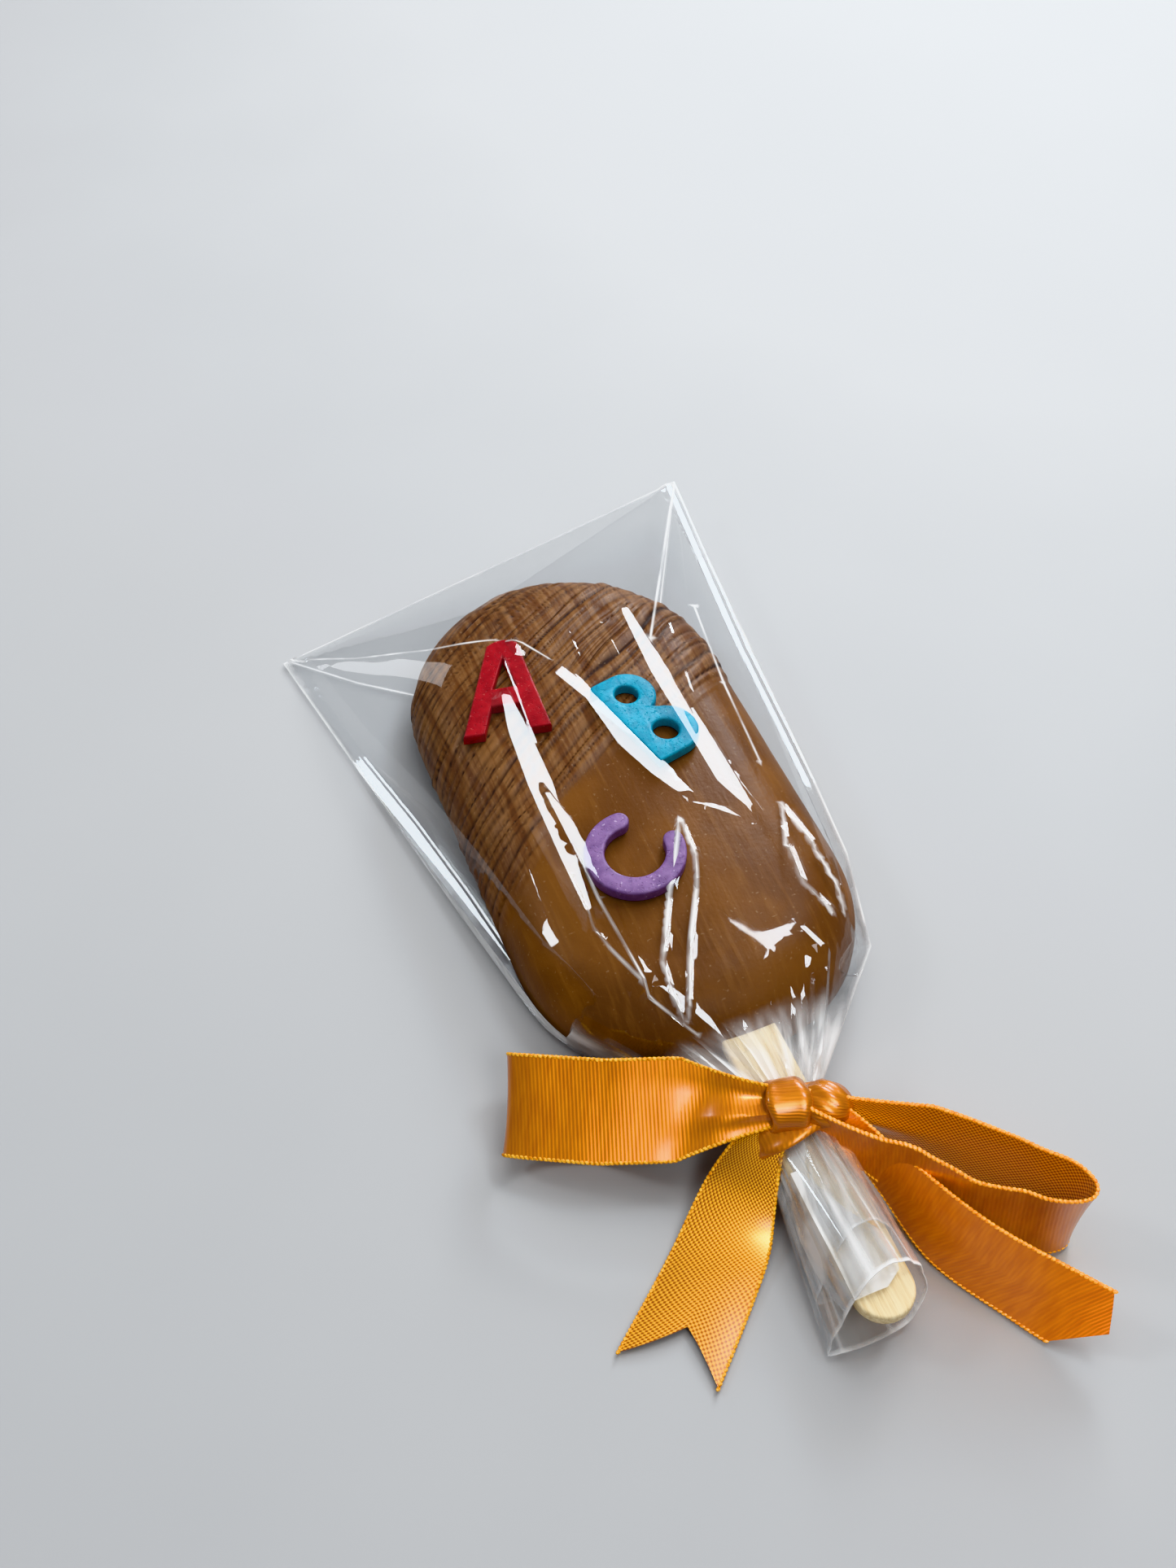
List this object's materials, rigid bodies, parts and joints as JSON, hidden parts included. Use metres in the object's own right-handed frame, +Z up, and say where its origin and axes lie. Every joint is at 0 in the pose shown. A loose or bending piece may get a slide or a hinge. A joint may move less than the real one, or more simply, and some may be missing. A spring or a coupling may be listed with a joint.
{
  "type": "cake pop",
  "caption": "Flat coated cake pop on a wooden stick with three raised letter shapes on top, lying in a clear film bag tied with a satin ribbon bow",
  "frame": {"origin": "on the surface that the bag lies on, under the middle of the coated bar", "axes": "+Z up out of the top of the bar, +Y along the bar away from the stick, +X across the bar"},
  "size_m": [0.075, 0.1577, 0.0178],
  "materials": {
    "coating": "milk chocolate coating with a soft shine and fine raised threads",
    "wood": "smooth pale birch",
    "red_icing": "red moulded sugar, soft shine",
    "teal_icing": "teal moulded sugar, soft shine",
    "purple_icing": "purple moulded sugar, soft shine",
    "film": "clear crisp film with sharp folds",
    "satin": "gold satin ribbon with a fine corded edge"
  },
  "bodies": {
    "root": {"cake": "coating", "stick": "wood", "letter_a": "red_icing", "letter_b": "teal_icing", "letter_c": "purple_icing", "bag": "film", "bow": "satin"}
  },
  "joints": []
}
